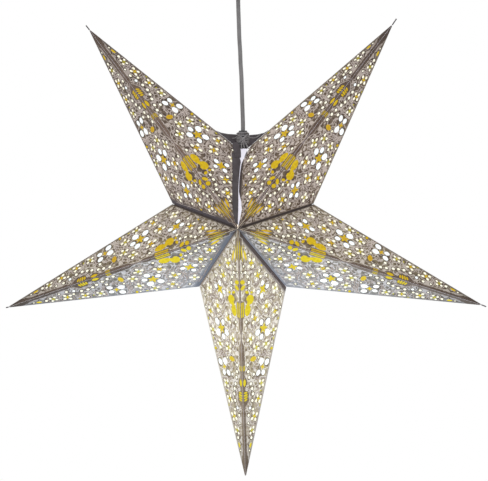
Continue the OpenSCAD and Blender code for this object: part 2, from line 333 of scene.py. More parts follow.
def plain_material(name, colour, other, rough, metal=0.0, scale=60.0, bump=0.0, coat=0.0):
    m, nodes, links, shader = new_material(name)
    noise = noise_of(nodes, links, nodes.new("ShaderNodeTexCoord").outputs["Object"], scale, 4.0)
    c = ramp(nodes, [(0.3, srgb(*colour)), (0.7, srgb(*other))])
    links.new(noise, c.inputs[0])
    links.new(c.outputs[0], shader.inputs["Base Color"])
    set_inputs(shader, Metallic=metal, Roughness=rough, Coat_Weight=coat)
    if bump:
        roughen(nodes, links, shader, noise, bump, 0.0005)
    return m


# One printed card in seven copies, each tinted with the light and shade painted on its panels: dim and warm
# on the upper arms, cold on the lower side panels, washed pale on the bottom arm.
CARD = {
    "warm": card_material("printed card, upper right arm", (80, 64, 52), (112, 97, 80), (204, 191, 182),
                          (132, 120, 106), (66, 56, 52), (86, 68, 57), 0.018),
    "rose": card_material("printed card, upper left arm", (76, 62, 52), (109, 95, 80), (198, 186, 178),
                          (116, 105, 98), (78, 73, 79), (108, 89, 76), 0.075),
    "mild": card_material("printed card, side arms above", (92, 78, 62), (130, 118, 95),
                          (212, 203, 192), (124, 114, 102), (70, 60, 56), (90, 73, 62), 0.018),
    "cool": card_material("printed card, right arm below", (112, 107, 100), (148, 147, 140),
                          (220, 221, 226), (146, 146, 148), (164, 170, 182), (120, 109, 101), 0.02,
                          (168, 177, 192)),
    "slate": card_material("printed card, left arm below", (110, 106, 102), (145, 145, 140),
                           (216, 218, 224), (142, 143, 148), (114, 122, 137), (86, 74, 66), 0.078,
                           (166, 176, 192)),
    "pale": card_material("printed card, bottom arm left", (136, 122, 100), (200, 190, 162),
                          (252, 248, 240), (212, 206, 192), (176, 160, 144), (140, 124, 104), 0.01),
    "dusk": card_material("printed card, bottom arm right", (132, 118, 98), (195, 185, 158),
                          (248, 244, 234), (190, 184, 176), (84, 75, 76), (112, 96, 80), 0.07),
}
# The lining's glow is painted light: the bulb's light through the paper, put in as emission.
LINING = glow_material("lining paper", (236, 233, 240), (226, 224, 236), 0.78)


def pane_set(where, **papers):
    """Window papers of some panels, each with two tones, the strength of its glow and its grain."""
    return {colour: glow_material(f"{colour} window{where}", *paper) for colour, paper in papers.items()}


# The lower panels' window papers are a brighter copy of the upper ones: painted light, as the lower arms are
# washed out with light.
PANES = {
    "upper": pane_set(
        "",
        white=((236, 245, 248), (244, 249, 249), 0.86, 12),
        cream=((250, 248, 232), (242, 236, 208), 0.86, 20),
        yellow=((212, 182, 36), (192, 158, 24), 0.74, 24),
        amber=((204, 170, 42), (192, 150, 38), 0.72, 24),
        olive=((196, 184, 60), (172, 160, 50), 0.72, 24),
    ),
    "lower": pane_set(
        ", low",
        white=((240, 248, 250), (248, 252, 250), 0.92, 12),
        cream=((253, 252, 236), (248, 246, 216), 0.92, 20),
        yellow=((222, 206, 52), (206, 186, 36), 0.8, 24),
        amber=((222, 200, 60), (212, 184, 54), 0.78, 24),
        olive=((214, 208, 84), (196, 190, 66), 0.78, 24),
    ),
}
THREAD = plain_material("pale raised print", (204, 190, 184), (186, 172, 164), 0.5, scale=200)
INK = plain_material("dark printed outline", (88, 76, 62), (72, 60, 50), 0.6, scale=200)
# Card painted dark for the shade it lies in, bent away from the lamp's light: the strip over the open seam,
# the tie tabs and the rolled tips.
SHADED_CARD = plain_material("card in painted shade", (84, 78, 82), (60, 54, 56), 0.8, scale=50)
STRING = plain_material("grey tie string", (150, 147, 148), (100, 98, 101), 0.8, scale=900, bump=0.5)
SHEATH = plain_material("dark grey flex sheath", (120, 118, 119), (106, 104, 105), 0.42, scale=80)
BLACK = plain_material("black moulding", (38, 38, 41), (30, 30, 33), 0.35, scale=50, coat=0.2)
WHITE_PLASTIC = plain_material("white moulding", (238, 238, 236), (228, 228, 226), 0.35, scale=20)
STEEL = plain_material("zinc plated steel", (196, 198, 202), (170, 172, 178), 0.35, 0.9, 120)
NICKEL = plain_material("nickel screw cap", (206, 206, 208), (182, 182, 186), 0.28, 0.9, 90)


# ---------------------------------------------------------------- flat shapes
def flat(name, outlines, low, high):
    """Sheet with the outlines filled, holes inside others left open, from height low to high, in mm."""
    curve = bpy.data.curves.new(name, "CURVE")
    curve.dimensions = "2D"
    curve.fill_mode = "BOTH"
    curve.extrude = (high - low) / 2 * MM
    for outline in outlines:
        line = curve.splines.new("POLY")
        line.points.add(len(outline) - 1)
        for p, (x, y) in zip(line.points, outline):
            p.co = (x * MM, y * MM, 0, 1)
        line.use_cyclic_u = True
    add_object(name, curve)
    bpy.ops.object.convert(target="MESH")
    o = bpy.context.active_object
    edit_all()
    bpy.ops.mesh.remove_doubles(threshold=1e-6)
    bpy.ops.mesh.normals_make_consistent(inside=False)
    bpy.ops.transform.translate(value=(0, 0, (low + high) / 2 * MM))
    bpy.ops.object.mode_set(mode="OBJECT")
    return o


def map_flat(o):
    """The panel's own map: U along the ridge and V away from it, 100 mm to 1."""
    mesh = o.data
    layer = mesh.uv_layers[0] if mesh.uv_layers else mesh.uv_layers.new(name="UVMap")
    for loop in mesh.loops:
        x, y = mesh.vertices[loop.vertex_index].co.xy
        layer.data[loop.index].uv = (x * 10, y * 10)


def oval(u, v, long, wide, turn=0.0, n=12, point=0.0):
    """Oval of n points; point 0 is a plain ellipse, 1 a leaf that is sharp at both ends."""
    t = math.radians(turn)
    out = []
    for k in range(n):
        a = 2 * math.pi * k / n
        x = long / 2 * math.cos(a)
        y = wide / 2 * math.sin(a) * (1 - point * math.cos(a) ** 2)
        out.append((u + x * math.cos(t) - y * math.sin(t), v + x * math.sin(t) + y * math.cos(t)))
    return out


def bar(u, v, long, wide):
    a, b, c = long / 2, wide / 2, wide / 4
    return [(u - a + c, v - b), (u + a - c, v - b), (u + a, v - b + c), (u + a, v + b - c),
            (u + a - c, v + b), (u - a + c, v + b), (u - a, v + b - c), (u - a, v - b + c)]


class Pattern:
    """The punched and printed design of one panel, the same on all twenty."""

    def __init__(self):
        self.windows = []      # (colour, outline, (u, v, reach))
        self.hearts = []       # amber middles, outlines only
        self.threads = []      # (points, thickness)

    def punch(self, colour, u, v, long, wide, turn=0.0, point=0.0, n=12):
        self.windows.append((colour, oval(u, v, long, wide, turn, n, point), (u, v, max(long, wide) / 2)))

    def wing(self, colour, knots):
        """Curled leaf with a smooth outline through the knots."""
        pts = [(p.x, p.y) for p in smooth_route([(a, b, 0) for a, b in knots + knots[:1]], per=4)][:-1]
        u, v = sum(x for x, _ in pts) / len(pts), sum(y for _, y in pts) / len(pts)
        self.windows.append((colour, pts, (u, v, max(math.hypot(x - u, y - v) for x, y in pts))))

    def slot(self, colour, u, v, long, wide):
        self.windows.append((colour, bar(u, v, long, wide), (u, v, long / 2)))

    def dot(self, u, v, size, colour="cream"):
        self.punch(colour, u, v, size * 1.14, size, 60, n=10)

    def star(self, colour, u, v, reach, waist, bearings):
        """Star with a ray on each bearing, between the petals round it."""
        pts = []
        for k, a in enumerate(bearings):
            after = bearings[(k + 1) % len(bearings)]
            gap = math.radians((after - a) % 360 or 360)
            before = math.radians((a - bearings[k - 1]) % 360 or 360)
            t = math.radians(a)
            for turn, r in ((-0.2 * before, reach * 0.66), (0, reach), (0.2 * gap, reach * 0.66),
                            (0.5 * gap, waist)):
                pts.append((u + r * math.cos(t + turn), v + r * math.sin(t + turn)))
        self.windows.append((colour, pts, (u, v, reach)))

    def blossom(self, u, v, petals, colour="white"):
        """Petals, each (bearing, distance, length, width), with a yellow star between them."""
        for a, far, long, wide in petals:
            t = math.radians(a)
            self.punch(colour, u + far * math.cos(t), v + far * math.sin(t), long, wide, a, 0.08, 16)
        far = sum(q[1] for q in petals) / len(petals)
        between = []
        for i, q in enumerate(petals):
            after = petals[(i + 1) % len(petals)][0]
            between.append(q[0] + ((after - q[0]) % 360) / 2)
        self.star("yellow", u, v, far * 0.98, far * 0.4, between)
        self.hearts.append(oval(u, v, far * 0.6, far * 0.56, n=10))
        long = max(q[2] for q in petals)
        self.ring(u, v, far + long * 0.74, len(petals), petals[0][0], 0.08, 1.0)
        self.ring(u, v, far + long * 1.02, len(petals), petals[0][0], 0.06, 0.8)

    def posy(self, u, v, reach, size, turn, colour="cream", heart="olive"):
        """Four small petals round a little star."""
        for k in range(4):
            t = math.radians(turn + 90 * k)
            self.punch(colour, u + reach * math.cos(t), v + reach * math.sin(t), size * 1.16, size,
                       turn + 90 * k, 0.06, 10)
        self.star(heart, u, v, reach * 0.86, reach * 0.26, [turn + 45 + 90 * k for k in range(4)])
        self.ring(u, v, reach + size * 0.95, 4, turn, 0.12, 0.9)

    def ring(self, u, v, reach, lobes, turn, wave, thick):
        n = 36
        pts = []
        for k in range(n + 1):
            a = 2 * math.pi * k / n
            r = reach * (1 + wave * math.cos(lobes * (a - math.radians(turn))))
            pts.append((u + r * math.cos(a), v + r * math.sin(a)))
        self.threads.append((pts, thick))

    def scroll(self, u, v, start, reach, turns, thick=0.8, hand=1):
        """Spiral that curls in to its middle."""
        n = int(26 * turns) + 6
        pts = []
        for k in range(n):
            f = k / (n - 1)
            r = reach * (1 - 0.88 * f)
            a = math.radians(start) + hand * 2 * math.pi * turns * f
            pts.append((u + r * math.cos(a), v + r * math.sin(a)))
        self.threads.append((pts, thick))

    def sweep(self, knots, thick=0.8):
        pts = [(p.x, p.y) for p in smooth_route([(a, b, 0) for a, b in knots], per=8)]
        self.threads.append((pts, thick))


def design():
    p = Pattern()
    # curled leaves either side of the bars
    p.wing("yellow", [(92, 12.4), (90.6, 18), (94, 24.4), (100, 25), (103.4, 21), (104, 17.4), (109, 19),
                      (114.4, 17.4), (117.4, 13), (115, 8.4), (109, 7.4), (104, 9.6), (99, 13), (95.4, 11)])
    # large blossoms
    p.blossom(141.5, 42, [(-76, 11.6, 9.4, 8.4), (-22, 11, 8, 7.4), (44, 10.6, 10.6, 9), (126, 11, 10, 8.8),
                          (202, 9.6, 8, 7.2)])
    p.blossom(192, 38, [(-57, 10, 8.6, 7.4), (8, 7.8, 7.6, 7), (115, 9.6, 9.4, 8.2), (192, 7.8, 9.4, 8.4)])
    p.blossom(90, 42.5, [(-80, 8.6, 6.2, 5.8), (-14, 8.4, 7, 6.6), (100, 8.8, 7.2, 6.4), (180, 8.2, 7, 6.4)])
    # small posies
    p.posy(69.5, 34.2, 6, 4.2, 60, heart="yellow")
    p.posy(50.5, 22.5, 5.8, 4.4, 30, heart="yellow")
    p.posy(114, 48.5, 5.8, 4.6, -3, heart="yellow")
    p.posy(124, 26.5, 6, 4.6, -35, heart="amber")
    p.posy(163, 27.5, 4.8, 4, -35)
    p.posy(149, 17, 5, 4.2, 0)
    p.posy(163.5, 46, 4.5, 3.8, -10)
    p.posy(125.5, 64.5, 5.2, 3.8, -38, heart="yellow")
    p.posy(149, 61, 4.6, 3.6, 0)
    p.posy(95, 66, 4.4, 4, 60)
    p.posy(213, 35, 4.4, 3.6, 40)
    p.posy(232, 28.5, 4.5, 3.8, 20, heart="yellow")
    p.posy(253, 20, 5, 4, 20, heart="yellow")
    p.posy(270.5, 14.5, 4.2, 3.4, -45)
    # single petals
    p.dot(107, 76, 3.2)
    p.dot(122.5, 75, 3.2)
    p.dot(168, 57.5, 3)
    p.dot(74, 50, 3.6)
    p.dot(87.5, 26, 3.8)
    p.dot(66.5, 15, 4.2)
    p.dot(74.5, 17, 4.4)
    p.dot(82, 17.5, 4)
    p.dot(60, 11, 4.2)
    p.dot(51, 8, 3)
    p.dot(39, 17.5, 2.8)
    p.dot(58, 3.6, 2.6)
    p.dot(124.5, 10, 4)
    p.dot(177.5, 31, 3.2)
    p.dot(197, 21, 4)
    p.dot(280, 13, 4)
    p.dot(296, 8.6, 2.4)
    # a curved row of petals beside the buds
    p.dot(181.5, 10, 4.4)
    p.dot(190.5, 10.8, 4.4)
    p.dot(198.5, 12.4, 4.2)
    p.dot(208, 15, 4.4)
    p.dot(215, 17.2, 4.2)
    p.dot(222.5, 18.5, 4.4)
    p.dot(231, 17, 4.2)
    p.dot(239.5, 12, 4.2, "white")
    p.dot(243, 18, 3.6)
    p.dot(248.5, 9, 4)
    p.dot(259, 8.2, 2.8)
    # yellow leaves round the centre
    p.punch("amber", 37.5, 11.6, 16, 4.2, 17, 0.4, 14)
    p.punch("yellow", 49, 17.4, 4.4, 2.6, 30, 0.3)
    p.punch("yellow", 29, 1.7, 28, 1.9, 0, 0.3, 16)
    p.punch("yellow", 34, 5.6, 24, 2.6, 6, 0.4, 16)
    p.punch("amber", 26.5, 8.4, 12, 2.2, 20, 0.4)
    # bud on the ridge
    p.punch("yellow", 71.2, 5.2, 9.4, 6, 66, 0.15)
    p.punch("yellow", 78.4, 5.6, 9.4, 6, 108, 0.15)
    # the large yellow motif: bars on the ridge and curled leaves beside them
    p.slot("yellow", 107, 1.7, 20, 2.2)
    p.slot("yellow", 107, 4.9, 20, 2.7)
    p.punch("yellow", 88.6, 21.5, 7, 4.6, 76, 0.2)
    p.punch("yellow", 86.2, 13, 8, 4, 66, 0.25)
    p.punch("yellow", 58.5, 41.5, 4.4, 2.4, 50, 0.3)
    # small bars, bud and heart towards the tip
    p.slot("yellow", 184, 1.5, 7, 1.6)
    p.slot("yellow", 184, 4.3, 7, 1.7)
    p.punch("yellow", 203.5, 3.4, 10, 5.4, 0, 0.15, 14)
    for k, high in enumerate((6.8, 8.2, 8.2, 6.4)):
        p.punch("yellow", 217.2 + 3.2 * k, 4.9, high, 2.9, 80 + 7 * k, 0.1)
    # drops and leaves near the outer edge
    p.punch("amber", 176.5, 21, 12, 7, 86, 0.2, 14)
    p.punch("yellow", 172.5, 56.4, 7.4, 5, 70, 0.2)
    p.punch("olive", 160, 60.6, 4.4, 2.6, -20, 0.3)
    p.punch("olive", 136.5, 70.6, 4.4, 2.4, -20, 0.3)
    p.punch("yellow", 289.5, 10.8, 7.6, 4.2, -20, 0.25)
    p.punch("olive", 241.6, 31, 4, 2, -20, 0.3)
    p.punch("olive", 222.4, 33.4, 3.6, 2, 70, 0.3)
    # scrolls and sweeping lines
    p.sweep([(101, 30), (99, 40), (101, 52), (104, 62), (110, 70), (122, 78)])
    p.sweep([(104, 32), (102.5, 41), (104, 51), (107, 60), (114, 68), (128, 72)], 0.6)
    p.sweep([(36, 24), (46, 33), (58, 44), (72, 56), (86, 70), (96, 78)], 0.6)
    p.sweep([(40, 14), (46, 15), (52, 14), (58, 17), (64, 21), (72, 22), (80, 24)], 0.6)
    p.sweep([(130, 12), (138, 10), (146, 8), (156, 9), (166, 14), (174, 12)], 0.6)
    p.sweep([(172, 16), (168, 24), (170, 34), (174, 44), (176, 54)], 0.9)
    p.sweep([(175, 34), (177, 42), (180, 50), (182, 55)], 0.7)
    p.sweep([(186, 15), (192, 8), (198, 3), (201, 0.8)], 0.8)
    p.sweep([(206, 0.8), (210, 5), (212.5, 9.5), (219, 12.5), (227, 12), (232, 8), (238, 0.8)], 0.9)
    p.sweep([(241, 0.8), (236, 9), (229, 14.5), (220, 15)], 0.6)
    p.sweep([(244, 5.4), (256, 4.8), (270, 5), (284, 4.4), (300, 4)], 0.6)
    p.sweep([(136, 0.8), (139, 3.6), (140.5, 8), (138, 13), (132, 16)], 0.9)
    p.sweep([(145, 0.8), (142, 3.6), (142.5, 8), (146, 11)], 0.9)
    p.sweep([(20, 8), (26, 8.5), (30, 6.6), (40, 5.6), (52, 4.6)], 0.6)
    p.sweep([(61, 6), (66, 8.5), (69, 10.6), (75, 12), (81, 10.6), (84, 7)], 0.7)
    p.sweep([(88, 6.8), (96, 12.8), (96, 24), (102, 28.5), (108, 22), (110, 18.6), (118, 19), (121, 12),
             (118, 5)], 0.7)
    p.scroll(112, 36, 40, 6, 1.3)
    p.scroll(132, 57, 200, 5, 1.2, 0.6, -1)
    p.scroll(104, 57, 120, 5, 1.1, 0.7)
    p.scroll(157, 37, 20, 5, 1.3, 0.6)
    p.scroll(113, 66, -60, 4.6, 1.2, 0.6, -1)
    p.scroll(176, 45, 60, 4, 1.1, 0.6)
    p.scroll(133, 21, 160, 4, 1.1, 0.6)
    p.scroll(80, 30, 0, 4.6, 1.2, 0.6, -1)
    p.scroll(59, 29, 120, 4, 1.1, 0.6)
    p.scroll(203, 27, 30, 5, 1.2, 0.6)
    p.scroll(221, 25, 150, 4, 1.1, 0.6, -1)
    p.scroll(242, 24, 60, 3.6, 1.1, 0.6)
    p.scroll(261, 13, 0, 3, 1.1, 0.6)
    p.scroll(186, 24, 90, 5, 1.2, 0.6, -1)
    p.scroll(76, 61, 45, 4, 1.1, 0.6)
    return p


def on_ridge(s, inset):
    return (s, inset)


def on_seam(s, inset):
    return (s * math.cos(CENTRE_A) + inset * math.sin(CENTRE_A),
            s * math.sin(CENTRE_A) - inset * math.cos(CENTRE_A))


def on_edge(s, inset):
    return (NOTCH_U + s * math.cos(TIP_A) - inset * math.sin(TIP_A),
            NOTCH_V - s * math.sin(TIP_A) - inset * math.cos(TIP_A))


# Ridge, outer edge and the cut beside the neck, for the panels at the open top seam
FREE_RIM = [on_ridge(0.6, 0.08), on_ridge(RIDGE - 1.2, 0.08), on_edge(EDGE - 2.5, 0.08),
            on_edge(14, 0.08), on_edge(10, 2)]
OUTLINE = {
    "plain": [on_ridge(0.7, 0.08), on_ridge(RIDGE - 1.2, 0.08), on_edge(EDGE - 2.5, 0.08), on_edge(0.8, 0.08),
              on_seam(SEAM - 0.6, 0.45), on_seam(4.5, 0.45), on_seam(1.2, 0.42)],
    "left free": [*FREE_RIM, on_seam(SEAM - 8, 6.5), on_seam(106, 3.8), on_seam(83, 4), on_seam(64, 3.8),
                  on_seam(46, 2.8), on_seam(30, 2.2), on_seam(14, 1.8), on_seam(4, 0.9), on_seam(0.8, 0.4)],
    "right free": [*FREE_RIM, on_seam(SEAM - 8, 5.6), on_seam(119, 1.4), on_seam(113, -0.8),
                   on_seam(99, -1.9), on_seam(83, -2.4), on_seam(64, -1.7), on_seam(54, 0.5),
                   on_seam(46, 2.6), on_seam(30, 4.6), on_seam(14, 2.7), on_seam(4, 0.8), on_seam(0.8, 0.4)],
    "back free": [*FREE_RIM, on_seam(SEAM - 8, 6), on_seam(SEAM * 0.8, 3), on_seam(SEAM * 0.3, 1.2),
                  on_seam(0.8, 0.4)],
}

# Where a glued seam folds, windows and print keep clear of the bevel beside it.
CLEAR = dict(OUTLINE)
CLEAR["plain"] = [on_ridge(3.6, 0.08), *OUTLINE["plain"][1:3], on_edge(2.4, 0.08),
                  on_seam(SEAM - 1.8, 1.85)]

# The lining runs on past the card where the top seam is open.
BEHIND = [*FREE_RIM, on_seam(SEAM - 5, 6.5), on_seam(SEAM - 12, 1.6), on_seam(116, -2.4), on_seam(99, -3.6),
          on_seam(83, -4), on_seam(64, -3.8), on_seam(46, -2.8), on_seam(30, -2.2), on_seam(14, -1.6),
          on_seam(6, -0.4), on_seam(4, 0.9), on_seam(1.2, 0.5)]


def spread(outline, gap):
    """The outline of a window let out all round by a gap."""
    n = len(outline)
    out = []
    for k in range(n):
        (x0, y0), (x1, y1), (x2, y2) = outline[k - 1], outline[k], outline[(k + 1) % n]
        tx, ty = x2 - x0, y2 - y0
        d = math.hypot(tx, ty) or 1.0
        out.append((x1 + gap * ty / d, y1 - gap * tx / d))
    return out


def room_inside(outline, u, v):
    """How far a point lies inside the outline, or a negative number outside it."""
    inside, near = False, 1e9
    for (x0, y0), (x1, y1) in zip(outline, outline[1:] + outline[:1]):
        if (y0 > v) != (y1 > v) and u < (x1 - x0) * (v - y0) / (y1 - y0) + x0:
            inside = not inside
        dx, dy = x1 - x0, y1 - y0
        t = max(0.0, min(1.0, ((u - x0) * dx + (v - y0) * dy) / (dx * dx + dy * dy)))
        near = min(near, math.hypot(u - x0 - t * dx, v - y0 - t * dy))
    return near if inside else -near


def slots(o, materials):
    o.data.materials.clear()
    for m in materials:
        o.data.materials.append(m)


def finish_piece(o, body, material, node):
    """A piece's material, the body it moves with and the CAD node it stands for."""
    slots(o, [material])
    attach(o, body)
    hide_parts(node)


def flat_panel(kind, pattern):
    """The card, its windows with the lining, and the raised print of one panel, drawn flat."""
    outline, clear = OUTLINE[kind], CLEAR[kind]
    keep = []
    for colour, shape, (u, v, reach) in pattern.windows:
        near = [k for k in keep if math.hypot(k[2][0] - u, k[2][1] - v) < k[2][2] + reach + 1]
        for size in (1, 0.88, 0.76, 0.64, 0.54):
            pts = [(u + size * (x - u), v + size * (y - v)) for x, y in shape]
            if (all(room_inside(k[1], x, y) < -0.3 for k in near for x, y in pts)
                    and min(room_inside(clear, x, y) for x, y in pts) > 0.3):
                keep.append((colour, pts, (u, v, reach * size)))
                break
    card = flat("card " + kind, [outline] + [w[1] for w in keep], -0.50, -0.12)
    # Outer side: mitred along the ridge crease, and bevelled where the arm is glued to the next one,
    # so that the two can close on each other.
    for q in card.data.vertices:
        u, v, z = q.co / MM
        off = u * math.sin(CENTRE_A) - v * math.cos(CENTRE_A)
        if z < -0.3 and v < 0.2:
            q.co.y -= 0.58 * MM
            if u < 2 and kind == "plain":
                q.co.x += 1.8 * MM
        elif z < -0.3 and off < 1.0 and kind == "plain":
            if u < 2:
                q.co = Vector((3.4, 0.5, z)) * MM
                continue
            q.co.x += 1.35 * math.sin(CENTRE_A) * MM
            q.co.y -= 1.35 * math.cos(CENTRE_A) * MM
    map_flat(card)
    parts = [flat("sheet " + kind, [BEHIND if kind == "right free" else outline], -0.06, -0.02)]
    slots(parts[0], [LINING])
    for colour, mat in PANES["upper"].items():
        panes = [w[1] for w in keep if w[0] == colour]
        pane = flat(colour, panes, -0.2, -0.06)
        slots(pane, [mat])
        parts.append(pane)
    hearts = flat("hearts", pattern.hearts, -0.24, -0.2)
    slots(hearts, [PANES["upper"]["amber"]])
    parts.append(hearts)
    for o in parts:
        map_flat(o)
    lining = join(*parts)
    # A dark printed outline round each pale window, as wide as there is room for.
    inked = []
    for w in keep:
        u, v, reach = w[2]
        near = [k for k in keep if k is not w and math.hypot(k[2][0] - u, k[2][1] - v) < k[2][2] + reach + 3]
        room = min([-room_inside(k[1], x, y) for k in near for x, y in w[1]]
                   + [room_inside(clear, x, y) for x, y in w[1]] + [2.2])
        gap = min(0.9, room * 0.42)
        if w[0] in ("white", "cream") and gap > 0.3:
            inked += [spread(w[1], gap), spread(w[1], 0.04)]
    ink = flat("ink " + kind, inked, -0.53, -0.505)
    slots(ink, [INK])
    map_flat(ink)
    # Raised lines, broken where they would cross a window or the outline.
    curve = bpy.data.curves.new("print " + kind, "CURVE")
    curve.dimensions = "3D"
    curve.bevel_resolution = 0
    curve.bevel_depth = 0.5 * MM
    for pts, thick in pattern.threads:
        run = []
        for x, y in pts:
            free = room_inside(clear, x, y) > 0.9 and all(
                math.hypot(x - a, y - b) > r + 0.5 for _, _, (a, b, r) in keep)
            if free:
                run.append((x, y))
            if (not free or (x, y) == pts[-1]) and run:
                if len(run) > 2:
                    line = curve.splines.new("POLY")
                    line.points.add(len(run) - 1)
                    for q, (a, b) in zip(line.points, run):
                        q.co = (a * MM, b * MM, 0, 1)
                        q.radius = thick
                run = []
    add_object("print " + kind, curve)
    bpy.ops.object.convert(target="MESH")
    thread = bpy.context.active_object
    edit_all()
    bpy.ops.transform.resize(value=(1, 1, 0.12), center_override=(0, 0, 0))
    bpy.ops.transform.translate(value=(0, 0, -0.51 * MM))
    bpy.ops.object.mode_set(mode="OBJECT")
    slots(thread, [THREAD])
    map_flat(thread)
    return card, lining, join(thread, ink)


def glue_flange():
    """Narrow strip that closes the seam between two arms from inside."""
    o = flat("glue_flange", [[on_ridge(0.3, 0.05), on_seam(0.3, -0.1), on_seam(1.2, -0.8), on_seam(3, -1.6),
                              on_seam(SEAM - 3, -1.6), on_seam(SEAM - 3, 0.42), on_seam(5, 0.42),
                              on_ridge(4.5, 0.3)]], -0.1, -0.07)
    map_flat(o)
    return o


def sheet_of(name, rows, thick):
    """Bent sheet through rows of points in mm from the star's middle, given a thickness."""
    mesh = bpy.data.meshes.new(name)
    wide = len(rows[0])
    mesh.from_pydata([(STAR + Vector(q) * MM) for row in rows for q in row], [],
                     [(i * wide + k, i * wide + k + 1, (i + 1) * wide + k + 1, (i + 1) * wide + k)
                      for i in range(len(rows) - 1) for k in range(wide - 1)])
    o = add_object(name, mesh)
    solid = o.modifiers.new("thickness", "SOLIDIFY")
    solid.thickness = thick * MM
    solid.offset = 0
    bpy.ops.object.modifier_apply(modifier="thickness")
    edit_all()
    bpy.ops.mesh.normals_make_consistent(inside=False)
    bpy.ops.object.mode_set(mode="OBJECT")
    mesh.uv_layers.new(name="UVMap")
    map_flat(o)
    return o


def placing(turn, hand, face):
    """Takes a panel drawn flat to its place in the star."""
    r = Matrix.Rotation
    m = Matrix.Translation(STAR) @ r(math.radians(turn), 4, "Y")
    m = m @ Matrix.Diagonal((-1.0 if hand < 0 else 1.0, -1.0 if face < 0 else 1.0, 1.0, 1.0))
    m = m @ Matrix.Translation((0, -DEPTH * MM, 0)) @ r(-math.atan2(DEPTH, TIP_R), 4, "X")
    m = m @ r(math.radians(-90), 4, "Y") @ r(math.radians(-90), 4, "X") @ r(PANEL_SLOPE, 4, "X")
    return m


def settle(o, m, lean=(0, 0)):
    """Puts the move into the mesh, and turns its faces outward again if it was mirrored. Lean is how far
    in mm the arm's tip stands to the side and up, as the arms of a paper star are never quite even."""
    share = [(q.co.x - q.co.y / math.tan(CENTRE_A)) / MM / RIDGE for q in o.data.vertices]
    o.data.transform(m)
    for q, f in zip(o.data.vertices, share):
        q.co += Vector((lean[0], 0, lean[1])) * MM * f
    if m.determinant() < 0:
        pick(o)
        edit_all()
        bpy.ops.mesh.flip_normals()
        bpy.ops.object.mode_set(mode="OBJECT")


def copy_of(o, name):
    c = o.copy()
    c.data = o.data.copy()
    c.name = c.data.name = name
    bpy.context.collection.objects.link(c)
    return c


# arm, side, turn of the arm, hand and the tone of painted light and shade on its card
PANELS = [
    ("bottom_arm", "right", 180, -1, "dusk"), ("bottom_arm", "left", 180, 1, "pale"),
    ("right_arm", "lower", 108, 1, "cool"), ("right_arm", "upper", 108, -1, "mild"),
    ("left_arm", "lower", -108, -1, "slate"), ("left_arm", "upper", -108, 1, "mild"),
    ("upper_right_arm", "outer", 36, 1, "warm"), ("upper_right_arm", "inner", 36, -1, "warm"),
    ("upper_left_arm", "outer", -36, -1, "rose"), ("upper_left_arm", "inner", -36, 1, "rose"),
]


# How far each arm's tip leans, and how far its rolled end runs on past the panels.
LEAN = {"bottom_arm": (3.2, 0), "right_arm": (0, 0), "left_arm": (1.6, -4.9),
        "upper_right_arm": (2.3, -1.6), "upper_left_arm": (-9.0, -6.5)}
RIM_BAND = 5   # mm
ROLLED = {"right_arm": (6.0, -2.4), "left_arm": (-3.2, -0.6), "upper_right_arm": (5.3, 7.7),
          "upper_left_arm": (-4.4, 5.6)}


def rolled_tip(arm, turn):
    """Card rolled to a point beyond the tip of an arm."""
    a = math.radians(turn)
    out = Vector((math.sin(a), 0, math.cos(a)))
    tip = STAR + (out * (TIP_R - 0.6) + Vector((LEAN[arm][0], 0, LEAN[arm][1]))) * MM
    end = Vector((ROLLED[arm][0], 0, ROLLED[arm][1])) * MM
    o = tube("rolled_tip", smooth_route([tip, tip + end * 0.5 + out * 0.4 * MM, tip + end]), 0.0017, 8)
    slots(o, [SHADED_CARD])
    return o


def crease(o, arm, turn, hand, own):
    """Attaches the pieces of a front panel, or of an arm that does not lean, to their body. For a back panel
    of a leaning arm it works out the rim band's inward direction and only bakes the piece's transform.
    """
    if "_front_" in own or not any(LEAN[arm]):
        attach(o, own)
        return
    a, b = math.radians(turn), math.radians(turn + 36 * hand)
    tip = STAR + Vector((TIP_R * math.sin(a) + LEAN[arm][0], 0, TIP_R * math.cos(a) + LEAN[arm][1])) * MM
    notch = STAR + Vector((NOTCH_R * math.sin(b), 0, NOTCH_R * math.cos(b))) * MM
    inward = STAR + Vector((0, DEPTH, 0)) * MM - notch
    inward -= (tip - notch) * inward.dot(tip - notch) / (tip - notch).length_squared
    inward.normalize()
    # The band is a wedge, almost nothing at the notch and at its full width at the tip.
    low = notch + inward * MM
    line = tip + inward * RIM_BAND * MM - low
    inward -= line * inward.dot(line) / line.length_squared
    inward.normalize()
    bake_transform(o)


